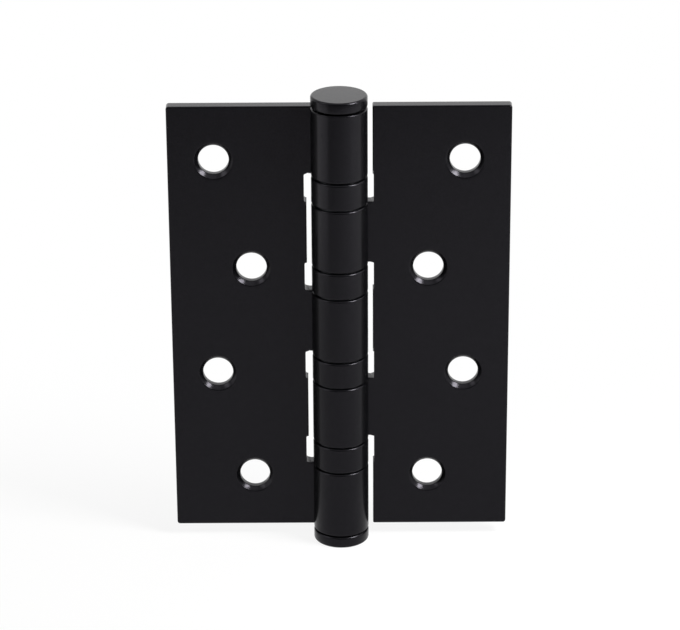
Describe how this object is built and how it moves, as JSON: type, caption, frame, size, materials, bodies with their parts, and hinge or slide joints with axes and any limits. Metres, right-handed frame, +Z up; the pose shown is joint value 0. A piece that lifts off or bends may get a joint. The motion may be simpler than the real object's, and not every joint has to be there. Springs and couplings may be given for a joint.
{
  "type": "door hinge",
  "caption": "Ball-bearing butt hinge for a door: square-cornered leaves with countersunk screw holes, rolled knuckles parted by bearing rings, and flat caps on the ends of the barrel.",
  "frame": {"origin": "on the barrel's axis, halfway up it", "axes": "+Z up along the pin, the countersunk faces look along -Y, the frame leaf lies towards -X and the door leaf towards +X, with the hinge open flat"},
  "size_m": [0.076, 0.0126, 0.108],
  "materials": {
    "black_coat": "satin black coat",
    "ground_steel": "ground, oiled",
    "bearing_balls": "polished",
    "cage_brass": "stamped sheet"
  },
  "bodies": {
    "frame_side": {"frame_leaf": "black_coat", "hinge_pin": "ground_steel", "top_cap": "black_coat", "bottom_cap": "black_coat", "bearing_1_upper_race": "ground_steel", "bearing_2_casing": "black_coat", "bearing_2_lower_race": "ground_steel", "bearing_3_upper_race": "ground_steel", "bearing_4_casing": "black_coat", "bearing_4_lower_race": "ground_steel"},
    "door_side": {"door_leaf": "black_coat", "bearing_1_casing": "black_coat", "bearing_1_lower_race": "ground_steel", "bearing_2_upper_race": "ground_steel", "bearing_3_casing": "black_coat", "bearing_3_lower_race": "ground_steel", "bearing_4_upper_race": "ground_steel"},
    "bearing_1_roll": {"bearing_1_cage": "cage_brass", "bearing_1_balls": "bearing_balls"},
    "bearing_2_roll": {"bearing_2_cage": "cage_brass", "bearing_2_balls": "bearing_balls"},
    "bearing_3_roll": {"bearing_3_cage": "cage_brass", "bearing_3_balls": "bearing_balls"},
    "bearing_4_roll": {"bearing_4_cage": "cage_brass", "bearing_4_balls": "bearing_balls"}
  },
  "joints": [
    {"name": "door_swing", "type": "hinge", "parent": "frame_side", "child": "door_side", "pos_m": [0, 0, 0], "axis": [0, 0, 1], "range_deg": [-180, 115]},
    {"name": "bearing_1_roll_turn", "type": "hinge", "parent": "frame_side", "child": "bearing_1_roll", "pos_m": [0, 0, 0], "axis": [0, 0, 1], "range_deg": [-90, 57.5]},
    {"name": "bearing_2_roll_turn", "type": "hinge", "parent": "frame_side", "child": "bearing_2_roll", "pos_m": [0, 0, 0], "axis": [0, 0, 1], "range_deg": [-90, 57.5]},
    {"name": "bearing_3_roll_turn", "type": "hinge", "parent": "frame_side", "child": "bearing_3_roll", "pos_m": [0, 0, 0], "axis": [0, 0, 1], "range_deg": [-90, 57.5]},
    {"name": "bearing_4_roll_turn", "type": "hinge", "parent": "frame_side", "child": "bearing_4_roll", "pos_m": [0, 0, 0], "axis": [0, 0, 1], "range_deg": [-90, 57.5]}
  ],
  "couplings": [
    {"joint": "bearing_1_roll_turn", "follows": "door_swing", "ratio": 0.5},
    {"joint": "bearing_2_roll_turn", "follows": "door_swing", "ratio": 0.5},
    {"joint": "bearing_3_roll_turn", "follows": "door_swing", "ratio": 0.5},
    {"joint": "bearing_4_roll_turn", "follows": "door_swing", "ratio": 0.5}
  ]
}
